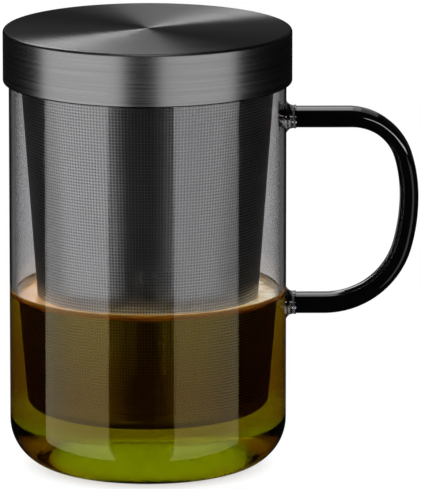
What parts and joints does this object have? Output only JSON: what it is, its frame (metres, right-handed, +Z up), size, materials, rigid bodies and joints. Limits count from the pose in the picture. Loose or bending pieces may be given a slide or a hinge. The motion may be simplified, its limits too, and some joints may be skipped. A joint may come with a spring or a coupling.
{
  "type": "lidded tea mug with infuser",
  "caption": "Tall straight smoke-grey glass mug with a black glass loop handle, a tapered micro-perforated steel infuser hanging in it and a shallow brushed black steel lift-off lid.",
  "frame": {"origin": "centre of the flat base that the mug stands on", "axes": "+Z up along the mug's axis, +X from the axis towards the handle, +Y square to both"},
  "size_m": [0.1274, 0.0886, 0.1361],
  "materials": {
    "smoke_glass": "clear, tinted smoke grey",
    "black_glass": "glossy, opaque black in the rod, smoky where the bosses thin out",
    "infuser_steel": "satin gunmetal, micro-perforated",
    "lid_steel": "gunmetal, spun-brushed round the axis",
    "liner_plastic": "moulded matt black",
    "gasket_silicone": "soft matt silicone"
  },
  "bodies": {
    "mug": {"glass_body": "smoke_glass", "upper_handle_boss": "black_glass", "lower_handle_boss": "black_glass", "handle": "black_glass"},
    "infuser": {"infuser_collar": "infuser_steel", "infuser_sleeve": "infuser_steel", "infuser_base": "infuser_steel"},
    "lid": {"lid_shell": "lid_steel", "lid_liner": "liner_plastic", "lid_gasket": "gasket_silicone"}
  },
  "joints": [
    {"name": "infuser_lift", "type": "slide", "parent": "mug", "child": "infuser", "axis": [0, 0, 1], "range_m": [0, 0.125]},
    {"name": "lid_lift", "type": "slide", "parent": "infuser", "child": "lid", "axis": [0, 0, 1], "range_m": [0, 0.04]}
  ]
}
